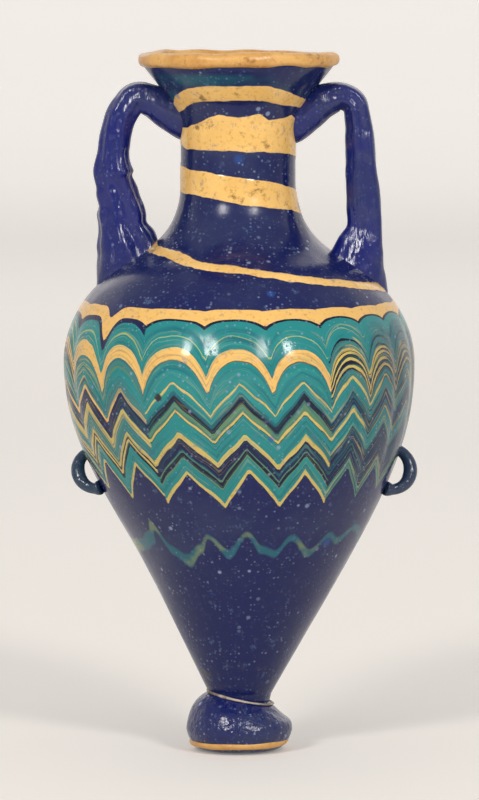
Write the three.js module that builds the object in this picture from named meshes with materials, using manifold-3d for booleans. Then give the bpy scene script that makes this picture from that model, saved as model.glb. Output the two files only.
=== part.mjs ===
// A core-formed glass amphoriskos: a small two-handled perfume flask, in millimetres, +Z up.
// The origin is the centre of the flat under the foot, and -Y is the front.
// Angles run round the axis from the front towards +X.
import * as THREE from "three";
import { mergeVertices } from "three/addons/utils/BufferGeometryUtils.js";
import Module from "manifold-3d";

const wasm = await Module();
wasm.setup();

// Driving sizes: lengths in millimetres, angles in degrees.

// Clearance between pieces of glass that were fused hot.
const glassGap = 0.22;

// Foot: a pad knob pressed on the tip of the body.
const restRadius = 7.4;
const footRadius = 10.6;
const footBulgeHeight = 4.2;
const footHeight = 11.2;

// Seam between foot and body, which was set on crooked.
const seamHeight = 10.6;
const seamTilt = 11;
const seamThreadRadius = 0.45;

// Body and neck, stacked upwards from the foot.
const waistRadius = 6.2;
const coneLength = 35;
const coneTopRadius = 25;
const bellyRise = 32;
const bellyRadius = 35.2;
const shoulderRise = 20.2;
const shoulderRadius = 21.5;
const shoulderSlope = 29;
const neckFootRise = 15.6;
const neckRadius = 11.5;
const neckLength = 10;
const mouthRise = 13.2;
const mouthRadius = 19.1;

// Wall thickness of body, neck and lip.
const bodyWall = 4;
const neckWall = 4.3;
const lipWall = 3;
const cavityFloorRise = 8;

// Yellow thread round the lip.
const rimThreadHeight = 2.9;
const rimThreadThickness = 2.4;
const rimOverhang = 0.6;

// Yellow thread wound down the neck on to the shoulder, and laid flush.
const neckThreadDepth = 1.1;
const neckThreadTurns = 3.45;
const neckThreadStart = 35;

// Combed threads: one stroke of the comb every twenty degrees, leaning as they go down.
const strokeCount = 18;
const combTopRise = 12.2;
const combLean = 5;
const combDepth = 1.2;
const furrowDepth = 0.3;

// Handles, from under the mouth to the shoulder.
const handleRidge = 0.5;

// Small ring lugs low on the belly.
const lugHeight = 56.4;
const lugRodRadius = 1.25;

// Yellow thread round the lower edge of the foot.
const footThreadHeight = 2;
const footThreadRadius = 1.2;
const footThreadTilt = 3;

// How far the cone of the body drifts sideways, and where.
const drift = 1.4;
const driftSpan = 24;

// Facets: steps in each curve of the outline, and round the plain turned pieces.
const outlineSteps = 12;
const wallFacets = 54;
const cavityFacets = 30;
const footFacets = 28;

// Heights and radii that follow from the driving sizes.
const DEG = Math.PI / 180;
const coneTopZ = footHeight + coneLength;
const bellyZ = coneTopZ + bellyRise;
const shoulderZ = bellyZ + shoulderRise;
const neckFootZ = shoulderZ + neckFootRise;
const neckTopZ = neckFootZ + neckLength;
const mouthZ = neckTopZ + mouthRise;
const rimSeatZ = mouthZ + rimThreadHeight * 0.7;
const combTopZ = bellyZ + combTopRise;
const tipZ = seamHeight - waistRadius;
const driftZ = coneTopZ - 8;
const strokeAngle = 360 / strokeCount;

const glass = {
  blue: { color: 0x141d5c, roughness: 0.2 },
  lug: { color: 0x2c3f58, roughness: 0.25 },
  yellow: { color: 0xe0a83f, roughness: 0.35 },
  turquoise: { color: 0x1c8f8c, roughness: 0.25 },
  pale: { color: 0xb9ab92, roughness: 0.6 },
};

// A mesh with merged vertices and no flat triangles as a solid with its faces pointing out.
function solid(geometry) {
  const bare = new THREE.BufferGeometry().setAttribute("position", geometry.getAttribute("position"));
  bare.setIndex(geometry.index);
  const merged = mergeVertices(bare, 1e-4);
  const corners = [];
  for (let i = 0; i < merged.index.count; i += 3) {
    const [a, b, c] = [0, 1, 2].map((k) => merged.index.getX(i + k));
    if (a !== b && b !== c && c !== a) corners.push(a, b, c);
  }
  const build = (triVerts) =>
    new wasm.Manifold(
      new wasm.Mesh({ numProp: 3, vertProperties: merged.attributes.position.array, triVerts }),
    );
  const made = build(new Uint32Array(corners));
  return made.volume() > 0 ? made : build(new Uint32Array(corners.reverse()));
}

// A solid turned about the vertical axis from an outline of (radius, height) points.
function turned(outline, segments) {
  return solid(new THREE.LatheGeometry(outline, segments).rotateX(Math.PI / 2));
}

// A solid through rings of points with equal counts. A closed run joins its last ring to its
// first, and an open one gets flat ends. Each face is split along its shorter diagonal.
function lofted(rings, closed) {
  const count = rings[0].length;
  const points = rings.flat();
  const positions = points.flatMap((p) => p.toArray());
  const index = [];
  const spans = closed ? rings.length : rings.length - 1;
  for (let i = 0; i < spans; i++) {
    const here = i * count;
    const next = ((i + 1) % rings.length) * count;
    for (let j = 0; j < count; j++) {
      const k = (j + 1) % count;
      const [a, b, c, d] = [here + j, next + j, next + k, here + k];
      if (points[a].distanceTo(points[c]) < points[b].distanceTo(points[d])) {
        index.push(a, b, c, a, c, d);
      } else {
        index.push(a, b, d, b, c, d);
      }
    }
  }
  if (!closed) {
    const last = (rings.length - 1) * count;
    for (let j = 1; j < count - 1; j++) {
      index.push(0, j, j + 1, last, last + j + 1, last + j);
    }
  }
  const geometry = new THREE.BufferGeometry();
  geometry.setAttribute("position", new THREE.Float32BufferAttribute(positions, 3));
  geometry.setIndex(index);
  return solid(geometry);
}

// The point at an angle, radius and height.
function around(angle, radius, height) {
  return new THREE.Vector3(radius * Math.sin(angle * DEG), -radius * Math.cos(angle * DEG), height);
}

// The outline of the body from its tip to the underside of the rim thread.
function bodyOutline() {
  const coneSlope = (coneTopRadius - waistRadius) / coneLength;
  const ease = bellyRise * 0.375;
  const fall = new THREE.Vector2(-Math.cos(shoulderSlope * DEG), Math.sin(shoulderSlope * DEG));
  const before = new THREE.Vector2(shoulderRadius, shoulderZ).addScaledVector(fall, -8);
  const after = new THREE.Vector2(shoulderRadius, shoulderZ).addScaledVector(fall, 5);
  const cone = new THREE.LineCurve(
    new THREE.Vector2(waistRadius, footHeight),
    new THREE.Vector2(coneTopRadius, coneTopZ),
  );
  const belly = curve(
    [coneTopRadius, coneTopZ],
    [coneTopRadius + coneSlope * ease, coneTopZ + ease],
    [bellyRadius, bellyZ - ease],
    [bellyRadius, bellyZ],
  );
  const shoulder = curve(
    [bellyRadius, bellyZ],
    [bellyRadius, bellyZ + 9],
    before.toArray(),
    [shoulderRadius, shoulderZ],
  );
  const neckFoot = curve(
    [shoulderRadius, shoulderZ],
    after.toArray(),
    [neckRadius, neckFootZ - neckFootRise * 0.6],
    [neckRadius, neckFootZ],
  );
  const neck = new THREE.LineCurve(
    new THREE.Vector2(neckRadius, neckFootZ),
    new THREE.Vector2(neckRadius, neckTopZ),
  );
  const mouth = curve(
    [neckRadius, neckTopZ],
    [neckRadius, neckTopZ + mouthRise * 0.42],
    [mouthRadius - 2.2, mouthZ - 3.6],
    [mouthRadius, mouthZ],
  );
  return [cone, belly, shoulder, neckFoot, neck, mouth].flatMap((span, i) =>
    span.getPoints(outlineSteps).slice(i ? 1 : 0),
  );
}

function curve(a, b, c, d) {
  return new THREE.CubicBezierCurve(...[a, b, c, d].map(([r, z]) => new THREE.Vector2(r, z)));
}

const outline = bodyOutline();

// The outer radius of the body at a height.
function radiusAt(z) {
  const above = outline.findIndex((p) => p.y >= z);
  if (above === 0) return outline[0].x;
  if (above < 0) return outline[outline.length - 1].x;
  const [a, b] = [outline[above - 1], outline[above]];
  return THREE.MathUtils.mapLinear(z, a.y, b.y, a.x, b.x);
}

// The thickness of the wall at a height.
function wallAt(z) {
  if (z <= shoulderZ) return bodyWall;
  if (z <= neckFootZ) return THREE.MathUtils.mapLinear(z, shoulderZ, neckFootZ, bodyWall, neckWall);
  if (z <= neckTopZ) return neckWall;
  return THREE.MathUtils.mapLinear(z, neckTopZ, mouthZ, neckWall, lipWall);
}

// The filled shape of body, neck and mouth, grown outwards by a clearance.
function bodyEnvelope(clearance) {
  const grown = outline
    .filter((p, i) => i % 3 === 0)
    .map((p) => new THREE.Vector2(p.x + clearance, p.y));
  return turned(
    [
      new THREE.Vector2(0, tipZ),
      new THREE.Vector2(waistRadius + clearance, tipZ),
      ...grown,
      new THREE.Vector2(0, mouthZ),
    ],
    wallFacets,
  );
}

// The hollow that the core left: the outline set inwards by the wall, open at the mouth.
function cavity() {
  const inner = [];
  outline.forEach((p, i) => {
    if (i === 0 || i === outline.length - 1 || i % 5) return;
    const along = outline[i + 1].clone().sub(outline[i - 1]).normalize();
    const inset = new THREE.Vector2(-along.y, along.x).multiplyScalar(wallAt(p.y));
    const set = p.clone().add(inset);
    if (set.x > 2 && set.y > footHeight + cavityFloorRise) inner.push(set);
  });
  const floor = new THREE.Vector2(0, inner[0].y - inner[0].x * 0.35);
  const lipRadius = mouthRadius - lipWall;
  return turned(
    [
      floor,
      new THREE.Vector2(inner[0].x * 0.7, floor.y + inner[0].x * 0.1),
      ...inner,
      new THREE.Vector2(lipRadius, mouthZ + rimThreadHeight),
      new THREE.Vector2(0, mouthZ + rimThreadHeight),
    ],
    cavityFacets,
  );
}

// Everything above, or below, the crooked plane of the seam.
function seamSide(above) {
  const size = 400;
  const box = new THREE.BoxGeometry(size, size, size);
  box.translate(0, 0, (above ? 1 : -1) * (size / 2 + glassGap / 2));
  return solid(box.rotateY(seamTilt * DEG).translate(0, 0, seamHeight));
}

// A pale thin thread in the seam, or the groove it lies in.
function seamRing(clearance) {
  const ring = new THREE.TorusGeometry(waistRadius + 0.15, seamThreadRadius + clearance, 6, 24);
  return solid(ring.rotateY(seamTilt * DEG).translate(0, 0, seamHeight));
}

// The combed threads. Each edge gives the depth below the comb's top at the crest between two
// strokes, and how much further the comb has dragged it down on the stroke.
const edges = {
  shoulderTop: { crest: 0, drag: 0 },
  shoulderFoot: { crest: 1.9, drag: 1.8 },
  festoonTop: { crest: 7, drag: 6.2 },
  festoonFoot: { crest: 9.2, drag: 6.6 },
  middleFoot: { crest: 15.2, drag: 8.2 },
  chevronTop: { crest: 17.2, drag: 8.2 },
  chevronFoot: { crest: 18.9, drag: 8.2 },
  lowerFoot: { crest: 23.2, drag: 7.4 },
  bottomTop: { crest: 28.2, drag: 7 },
  bottomFoot: { crest: 30.8, drag: 7.2 },
  lastFoot: { crest: 31.9, drag: 7.3 },
  wavyTop: { crest: 44.4, drag: 3 },
  wavyFoot: { crest: 45.8, drag: 3 },
};

const combBottomZ = combTopZ - edges.lastFoot.crest - edges.lastFoot.drag;

// How far a stroke has leant over at a height.
function leanAt(z) {
  return (combLean * (combTopZ - z)) / (combTopZ - combBottomZ);
}

// The columns of the comb: a stroke on each even one and a crest on each odd one.
const columns = Array.from({ length: 2 * strokeCount }, (_, i) => ({
  angle: (i * strokeAngle) / 2,
  dragged: i % 2 === 0,
}));

// The height of a combed edge on a column.
function edgeHeight(edge, column) {
  return combTopZ - edge.crest - (column.dragged ? edge.drag : 0);
}

// A place on a column at a height, offset outwards from the surface of the body.
function onColumn(column, z, offset) {
  return around(column.angle + leanAt(z), radiusAt(z) + offset, z);
}

// Heights down a column from one combed edge to another, each moved by a margin.
function rowsDown(column, { top, foot, rows }, margin) {
  const high = edgeHeight(top, column) + margin;
  const low = edgeHeight(foot, column) - margin;
  return Array.from({ length: rows + 1 }, (_, k) => THREE.MathUtils.lerp(high, low, k / rows));
}

// A thread laid flush round the body between two combed edges.
function combedThread(thread) {
  const rings = columns.map((column) => {
    const down = rowsDown(column, thread, -glassGap / 2);
    return [
      ...down.map((z) => onColumn(column, z, 0)),
      ...down.toReversed().map((z) => onColumn(column, z, -combDepth)),
    ];
  });
  return lofted(rings, true);
}

// Threads laid flush in the wall, from the shoulder down. Rows follow the curve of the body.
const { yellow, turquoise } = glass;
const combedThreads = {
  shoulder_thread: { colour: yellow, top: edges.shoulderTop, foot: edges.shoulderFoot, rows: 1 },
  turquoise_band_upper: { colour: turquoise, top: edges.shoulderFoot, foot: edges.festoonTop, rows: 3 },
  yellow_festoon_thread: { colour: yellow, top: edges.festoonTop, foot: edges.festoonFoot, rows: 1 },
  turquoise_band_middle: { colour: turquoise, top: edges.festoonFoot, foot: edges.middleFoot, rows: 2 },
  yellow_chevron_thread: { colour: yellow, top: edges.chevronTop, foot: edges.chevronFoot, rows: 1 },
  turquoise_band_lower: { colour: turquoise, top: edges.chevronFoot, foot: edges.lowerFoot, rows: 1 },
  turquoise_band_bottom: { colour: turquoise, top: edges.bottomTop, foot: edges.bottomFoot, rows: 1 },
  yellow_edge_thread: { colour: yellow, top: edges.bottomFoot, foot: edges.lastFoot, rows: 1 },
  wavy_thread: { colour: turquoise, top: edges.wavyTop, foot: edges.wavyFoot, rows: 1 },
};

// Grooves that hold them, each by its threads, with blue glass between one and the next.
const grooves = [
  ["shoulder_thread", "turquoise_band_upper", "yellow_festoon_thread", "turquoise_band_middle"],
  ["yellow_chevron_thread", "turquoise_band_lower"],
  ["turquoise_band_bottom", "yellow_edge_thread"],
  ["wavy_thread"],
].map((names) => names.map((name) => combedThreads[name]));

// The section of a groove on a column: in over its upper lip, down its floor and out again.
function grooveSection(column, threads) {
  const high = edgeHeight(threads[0].top, column) + glassGap / 2;
  const low = edgeHeight(threads.at(-1).foot, column) - glassGap / 2;
  const rows = threads.flatMap((thread) => rowsDown(column, thread, 0).slice(1));
  const floor = [high, ...rows.slice(0, -1), low];
  return [
    onColumn(column, high, 0),
    ...floor.map((z) => onColumn(column, z, -combDepth - glassGap)),
    onColumn(column, low, 0),
  ];
}

// The outside of the wall with its grooves, as one section for each column of the comb.
function wallOutside() {
  const bare = outline.filter((p, i) => p.y > combTopZ + 1 && i % 3 === 0).map((p) => p.y);
  const seat = mouthRadius - rimThreadThickness + rimOverhang;
  const rings = columns.map((column) => {
    return [
      new THREE.Vector3(0, 0, rimSeatZ),
      around(column.angle, seat, rimSeatZ),
      around(column.angle, seat, mouthZ),
      ...bare.toReversed().map((z) => onColumn(column, z, 0)),
      ...grooves.flatMap((threads) => grooveSection(column, threads)),
      onColumn(column, (coneTopZ + footHeight) / 2, 0),
      onColumn(column, footHeight, 0),
      onColumn(column, tipZ, 0),
      new THREE.Vector3(0, 0, tipZ),
    ];
  });
  return lofted(rings, true);
}

// The wound neck thread at even steps along its run: drop below the mouth, and width.
const threadDrops = [6.8, 11.2, 23.4, 37.8, 45.8];
const threadWidths = [1.4, 5, 4.8, 1.9, 1.5];

// A ribbon round the neck, at the given distances from the surface and grown by a clearance.
function neckRibbon(outside, inside, clearance) {
  const steps = Math.round(neckThreadTurns * 20);
  const drops = new THREE.SplineCurve(threadDrops.map((drop) => new THREE.Vector2(0, drop)));
  const widths = new THREE.SplineCurve(threadWidths.map((w) => new THREE.Vector2(0, w)));
  const extra = clearance > 0 ? 1 : 0;
  const rings = [];
  for (let i = -extra; i <= steps + extra; i++) {
    const share = THREE.MathUtils.clamp(i / steps, 0, 1);
    const z = mouthZ - drops.getPoint(share).y;
    const half = widths.getPoint(share).y / 2 + clearance;
    const angle = neckThreadStart + (i / steps) * neckThreadTurns * 360;
    const [high, low] = [z + half, z - half];
    rings.push([
      around(angle, radiusAt(high) + outside, high),
      around(angle, radiusAt(low) + outside, low),
      around(angle, radiusAt(low) + inside, low),
      around(angle, radiusAt(high) + inside, high),
    ]);
  }
  return lofted(rings, false);
}

// Body, neck and mouth are one gather of blue glass round the core, grooved for its threads.
function bodyWallSolid() {
  return wallOutside()
    .subtract(cavity())
    .intersect(seamSide(true))
    .subtract(seamRing(glassGap))
    .subtract(neckRibbon(1.5, -neckThreadDepth - glassGap, glassGap));
}

// The yellow coil round the outside of the lip, rounded outside and under.
function rimThread() {
  const inner = mouthRadius - rimThreadThickness + rimOverhang + glassGap;
  const low = mouthZ + glassGap;
  const high = low + rimThreadHeight - glassGap;
  const middle = (low + high) / 2;
  const bulge = inner + rimThreadThickness;
  const round = [-70, -35, 0, 35, 70].map(
    (a) =>
      new THREE.Vector2(
        bulge - 1 + Math.cos(a * DEG),
        middle + ((high - low) / 2) * Math.sin(a * DEG),
      ),
  );
  const section = [new THREE.Vector2(inner, low), ...round, new THREE.Vector2(inner, high)];
  return turned([...section, section[0]], 2 * strokeCount);
}

// The pad knob of the foot: a flat, a rounded edge and a dome drawn in to the waist.
function footOutline() {
  const edge = curve(
    [restRadius, 0],
    [footRadius - 0.6, 0],
    [footRadius, footBulgeHeight * 0.45],
    [footRadius, footBulgeHeight],
  );
  const dome = curve(
    [footRadius, footBulgeHeight],
    [footRadius, footHeight * 0.68],
    [waistRadius + 2.2, footHeight - 2.4],
    [waistRadius, footHeight],
  );
  return [
    new THREE.Vector2(0, 0),
    ...edge.getPoints(4),
    ...dome.getPoints(5).slice(1),
    new THREE.Vector2(waistRadius, footHeight + waistRadius),
    new THREE.Vector2(0, footHeight + waistRadius),
  ];
}

// The ring of yellow glass that runs round the lower edge of the foot, or its groove.
function footRing(clearance) {
  const ring = new THREE.TorusGeometry(
    footRadius - footThreadRadius * 0.8,
    footThreadRadius + clearance,
    8,
    footFacets,
  );
  return solid(ring.rotateY(-footThreadTilt * DEG).translate(0, 0, footThreadHeight));
}

function foot() {
  return turned(footOutline(), footFacets)
    .intersect(seamSide(false))
    .subtract(seamRing(glassGap))
    .subtract(footRing(glassGap));
}

// Handle stations: distance out from the axis, height above the foot of the neck, width in the
// plane of the handle, and depth across it. The first and last lie inside the wall.
const leftStations = [
  [6, 13, 10.5, 8],
  [10.9, 13.2, 10, 8],
  [14.1, 14.2, 7.8, 7.8],
  [17.2, 15.9, 6.6, 7.4],
  [20.4, 16.6, 6, 7],
  [22.8, 13.8, 6, 7],
  [24.1, 10.4, 6.1, 7],
  [24.7, 6.8, 6.1, 7.2],
  [25, 2, 7.1, 8],
  [24.3, -1.4, 7.7, 7.8],
  [23.4, -5, 9, 7.5],
  [23, -9, 9.8, 7.6],
  [22.1, -13, 12, 8.6],
  [21.5, -17.5, 13.8, 9.4],
  [21, -22.5, 15, 9],
];
const rightStations = [
  [6, 12.2, 10.5, 8],
  [10.6, 12.6, 10.2, 8],
  [13.9, 14, 8, 7.8],
  [17, 16, 6.9, 7.4],
  [20.4, 17, 5.4, 7],
  [23.2, 15.4, 5, 7],
  [24, 11.6, 5.2, 7],
  [24.4, 7.5, 5.8, 7.2],
  [24.6, 3, 6.1, 7.4],
  [24.9, -1.2, 6.5, 7.4],
  [25.2, -5.5, 6.8, 7.6],
  [25.2, -9.4, 7, 7.8],
  [24.4, -13, 9.6, 8.6],
  [23.4, -17, 12, 9.2],
  [22.8, -22, 14, 9],
];

// A strap of glass through its stations, with a groove drawn down its outer face. Side is -1 on
// the left and 1 on the right. The wall's own shape is cut from its ends.
function handle(stations, side) {
  const spine = new THREE.CatmullRomCurve3(
    stations.map(([out, up]) => new THREE.Vector3(side * out, 0, neckFootZ + up)),
  );
  const sizes = new THREE.CatmullRomCurve3(
    stations.map(([, , width, depth]) => new THREE.Vector3(width / 2, depth / 2, 0)),
  );
  const steps = 22;
  const corners = 10;
  const rings = Array.from({ length: steps + 1 }, (_, i) => {
    const share = i / steps;
    const centre = spine.getPoint(share);
    const tangent = spine.getTangent(share);
    const outwards = new THREE.Vector3(tangent.z, 0, -tangent.x).multiplyScalar(-side);
    const half = sizes.getPoint(share);
    return Array.from({ length: corners }, (_, k) => {
      const turn = (k / corners) * 2 * Math.PI;
      const reach = half.x * Math.cos(turn) - (k === 0 ? handleRidge : 0);
      return centre
        .clone()
        .addScaledVector(outwards, reach)
        .add(new THREE.Vector3(0, half.y * Math.sin(turn), 0));
    });
  });
  return lofted(rings, false).subtract(bodyEnvelope(glassGap));
}

// A bent rod low on the belly: it leaves the wall, bows out and comes back in lower and nearer
// the front. Reach and rise are the half axes of the bow.
function ringLug(side, reach, rise, forward) {
  const steps = 7;
  const surface = radiusAt(lugHeight);
  const bow = Array.from({ length: steps + 1 }, (_, i) => {
    const turn = (i / steps) * Math.PI;
    const out = surface + reach * Math.sin(turn);
    return new THREE.Vector3(side * out, -forward * (i / steps), lugHeight + rise * Math.cos(turn));
  });
  const sunk = (p) => p.clone().multiply(new THREE.Vector3(0.86, 0.86, 1));
  const path = new THREE.CatmullRomCurve3([sunk(bow[0]), ...bow, sunk(bow[steps])]);
  const section = new THREE.Shape().absarc(0, 0, lugRodRadius, 0, 2 * Math.PI);
  const rod = new THREE.ExtrudeGeometry(section, {
    steps: 12,
    curveSegments: 8,
    extrudePath: path,
  });
  return solid(rod).subtract(bodyEnvelope(glassGap));
}

// Hand work: the cone drifts to the right, and each stroke of the comb leaves a shallow furrow.
function handMade(x, y, z) {
  const radius = Math.hypot(x, y);
  const depth = radiusAt(z) - radius;
  const angle = Math.atan2(x, -y) / DEG - leanAt(z);
  const phase = THREE.MathUtils.euclideanModulo(angle / strokeAngle, 1);
  const zone =
    THREE.MathUtils.smoothstep(z, combBottomZ, combBottomZ + 12) *
    (1 - THREE.MathUtils.smoothstep(z, combTopZ - 10, combTopZ));
  const skin = 1 - THREE.MathUtils.smoothstep(depth, combDepth * 1.5, bodyWall * 0.8);
  const furrow = furrowDepth * (1 - Math.sin(Math.PI * phase)) * zone * skin;
  const scale = radius > 1 ? (radius - furrow) / radius : 1;
  const lean = drift * Math.exp(-(((z - driftZ) / driftSpan) ** 2));
  return [x * scale + lean, y * scale, z];
}

// A named mesh from a solid, shaped by hand and coloured.
function piece(name, { color, roughness }, made) {
  const { vertProperties, triVerts } = made.getMesh();
  const positions = [];
  for (let i = 0; i < vertProperties.length; i += 3) {
    positions.push(...handMade(...vertProperties.subarray(i, i + 3)));
  }
  const geometry = new THREE.BufferGeometry();
  geometry.setAttribute("position", new THREE.Float32BufferAttribute(positions, 3));
  geometry.setIndex(Array.from(triVerts));
  geometry.computeVertexNormals();
  const material = new THREE.MeshStandardMaterial({ color, roughness, metalness: 0 });
  const mesh = new THREE.Mesh(geometry, material);
  mesh.name = name;
  return mesh;
}

const amphoriskos = new THREE.Group();
amphoriskos.name = "amphoriskos";
amphoriskos.add(
  piece("body_wall", glass.blue, bodyWallSolid()),
  piece("rim_thread", glass.yellow, rimThread()),
  piece("neck_thread", glass.yellow, neckRibbon(0, -neckThreadDepth, 0)),
  ...Object.entries(combedThreads).map(([name, thread]) =>
    piece(name, thread.colour, combedThread(thread)),
  ),
  piece("left_handle", glass.blue, handle(leftStations, -1)),
  piece("right_handle", glass.blue, handle(rightStations, 1)),
  piece("left_ring_lug", glass.lug, ringLug(-1, 3, 3.5, 5)),
  piece("right_ring_lug", glass.lug, ringLug(1, 3.7, 3.9, 4)),
  piece("foot", glass.blue, foot()),
  piece("foot_thread", glass.yellow, footRing(0)),
  piece("seam_thread", glass.pale, seamRing(0)),
);

export default amphoriskos;
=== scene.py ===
# A small perfume flask of core-formed glass: deep blue, with yellow and turquoise threads
# combed into festoons, two handles, two ring lugs and a pad foot.
# Sizes are in millimetres in the functions and become metres where a mesh is made.
# Angles are in degrees round the axis from the front (-Y) towards +X.
import math

import bpy
import numpy as np
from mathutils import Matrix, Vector


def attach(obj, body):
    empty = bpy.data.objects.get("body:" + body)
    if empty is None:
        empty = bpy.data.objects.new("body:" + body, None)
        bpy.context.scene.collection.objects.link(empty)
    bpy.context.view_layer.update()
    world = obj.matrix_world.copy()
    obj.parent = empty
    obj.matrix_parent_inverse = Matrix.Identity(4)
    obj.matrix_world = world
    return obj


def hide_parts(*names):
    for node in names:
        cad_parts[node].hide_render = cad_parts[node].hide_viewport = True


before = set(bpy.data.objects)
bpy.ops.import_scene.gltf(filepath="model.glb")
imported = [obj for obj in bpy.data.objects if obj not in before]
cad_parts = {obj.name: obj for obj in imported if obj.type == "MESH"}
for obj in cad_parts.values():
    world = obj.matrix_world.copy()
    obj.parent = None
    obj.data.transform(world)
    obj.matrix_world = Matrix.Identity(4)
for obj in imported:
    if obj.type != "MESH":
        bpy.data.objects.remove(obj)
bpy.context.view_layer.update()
bpy.ops.object.select_all(action="DESELECT")

MM = 0.001

# Outline of the vessel: radii and heights of its landmarks.
WAIST = (6.2, 11.2)
CONE_TOP = (25.0, 46.2)
BELLY = (35.2, 78.2)
SHOULDER = (21.5, 98.4)
NECK_FOOT = (11.5, 114.0)
NECK_TOP = (11.5, 124.0)
MOUTH = (19.1, 137.2)
SHOULDER_SLOPE = 29
TIP_Z = 8.4
WALL = 4.0
LIP_WALL = 3.0
CAVITY_FLOOR_Z = 19.0

# Hand work: sideways drift of the cone, furrows of the comb.
DRIFT = 1.4
DRIFT_Z = 38.2
DRIFT_SPAN = 24.0
FURROW_DEPTH = 0.32

# Foot, seam and rim.
REST_RADIUS = 7.4
FOOT_RADIUS = 10.6
FOOT_BULGE_Z = 4.0
FOOT_TOP_Z = 11.2
COIL_RADIUS = 9.2
COIL_Z = 1.7
SEAM_Z = 10.6
SEAM_TILT = 11.5
RIM_LOW_Z = 137.0
RIM_HIGH_Z = 139.9
RIM_RADIUS = 20.1

# Strokes of the comb by angle at the middle of the pattern. Lean is how far each moves round
# from the top of the pattern to its foot, and pull how strongly it drags the threads.
STROKES = [
    (-88, 5, 1.0), (-68, 5, 0.9), (-50.5, 0, 1.12), (-32.6, 1, 1.0), (-9.3, 5, 1.02),
    (12, 6, 1.0), (32, 6, 1.0), (48.5, 6, 0.95), (63, 5, 0.85), (80, 5, 1.0), (99, 4, 0.95),
    (118, 4, 1.05), (137, 5, 1.0), (156, 4, 0.9), (175, 5, 1.1), (194, 4, 1.0),
    (213, 5, 0.95), (232, 4, 1.05), (252, 5, 1.0),
]
COMB_TOP_Z = 90.2
COMB_MID_Z = 68.0
COMB_FOOT_Z = 50.0

# Colours of the glasses.
BLUE = (0.0042, 0.0088, 0.082)
DARK = (0.004, 0.006, 0.028)
NIGHT = (0.006, 0.010, 0.060)
YELLOW = (0.80, 0.49, 0.15)
GOLD = (0.60, 0.46, 0.13)
PALE_GOLD = (0.34, 0.42, 0.16)
TURQUOISE = (0.014, 0.225, 0.232)
SEA_GREY = (0.045, 0.20, 0.20)
OLIVE = (0.09, 0.22, 0.13)
BROWN = (0.16, 0.075, 0.02)
MILKY = (0.03, 0.30, 0.26)
DEEP_SEA = (0.008, 0.12, 0.16)
# Painted shade and grazing sheen: a grey-blue laid over the pattern on the right flank.
FLANK_SHEEN_GREY = (0.05, 0.085, 0.13)
OCHRE = (0.42, 0.20, 0.05)
CREAM = (0.90, 0.58, 0.20)
HAZE = (0.02, 0.13, 0.16)
EARTH = (0.11, 0.10, 0.045)
BUBBLE_BLACK = (0.02, 0.025, 0.025)

# Threads of the combed pattern, each from its height on the crests up to the next. The pattern
# differs at the front, on the right and on the left, where other turns of thread overlap.
FRONT_THREADS = [
    (46.0, BLUE), (58.3, GOLD), (59.2, TURQUOISE), (61.8, OLIVE), (62.1, DARK), (63.0, OLIVE),
    (63.35, NIGHT), (65.5, GOLD), (66.5, TURQUOISE), (70.2, DARK), (70.4, GOLD), (71.0, OLIVE),
    (72.6, DARK), (74.2, (0.008, 0.12, 0.15)), (74.9, TURQUOISE), (76.3, GOLD), (76.65, TURQUOISE),
    (80.4, BROWN), (80.65, YELLOW), (82.9, TURQUOISE), (85.2, PALE_GOLD), (85.5, TURQUOISE),
    (88.1, DARK), (88.5, YELLOW), (90.4, BLUE),
]
RIGHT_THREADS = [
    (46.0, BLUE), (59.0, OLIVE), (59.5, SEA_GREY), (61.1, OLIVE), (61.3, NIGHT), (67.6, OLIVE),
    (67.9, TURQUOISE), (70.5, GOLD), (71.3, SEA_GREY), (71.9, NIGHT), (74.3, SEA_GREY),
    (75.4, TURQUOISE), (76.9, GOLD), (77.3, SEA_GREY), (78.4, DARK), (78.8, GOLD), (79.4, DARK),
    (80.2, GOLD), (80.8, DARK), (81.4, GOLD), (82.0, DARK), (82.2, GOLD), (82.8, SEA_GREY),
    (84.4, DARK), (84.8, TURQUOISE), (88.4, DARK), (88.7, YELLOW), (90.4, BLUE),
]
LEFT_THREADS = [
    (46.0, BLUE), (59.6, GOLD), (60.3, TURQUOISE), (63.4, DARK), (64.1, GOLD), (64.7, DARK),
    (65.4, GOLD), (66.3, SEA_GREY), (69.3, GOLD), (71.2, NIGHT), (74.4, YELLOW), (75.4, SEA_GREY),
    (77.0, TURQUOISE), (78.6, OLIVE), (79.0, SEA_GREY), (80.6, YELLOW), (83.3, TURQUOISE),
    (85.1, PALE_GOLD), (85.5, TURQUOISE), (87.4, NIGHT), (88.4, YELLOW), (90.4, BLUE),
]
COMB_LOW = 46.0
COMB_SPAN = 46.0

# Drag of the comb by height on the crests: how far a stroke pulls the thread down.
DRAG = [(44, 2.0), (50, 5.0), (58.3, 6.9), (62, 6.7), (66, 6.4), (70.5, 6.3), (73, 6.8),
        (76.6, 6.6), (80.7, 7.1), (83, 5.8), (85.3, 5.5), (88.5, 1.4), (90.4, 0.3), (94, 0.0)]
# One stroke drew the top thread down further than the others.
DEEP_STROKE = 2
DEEP_DRAG = 3.0

# Steps round each turned piece, and along and round the drawn ones.
BODY_STEPS = 340
RIM_STEPS = 200
FOOT_STEPS = 128
SEAM_STEPS = 96
HANDLE_ROWS = 150
HANDLE_STEPS = 48
LUG_ROWS = 60
LUG_STEPS = 24

# The camera, in metres and millimetres of lens, and what the lamps point at.
CAMERA_LENS = 236
CAMERA_PLACE = (0.0002, -1.045, 0.160)
CAMERA_AIM = (0.0002, 0, 0.0702)
LAMP_AIM = (0, 0, 0.07)

# A small burst bubble in the front of the pattern: angle and height.
PIT = (-26.7, 73.3)

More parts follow.
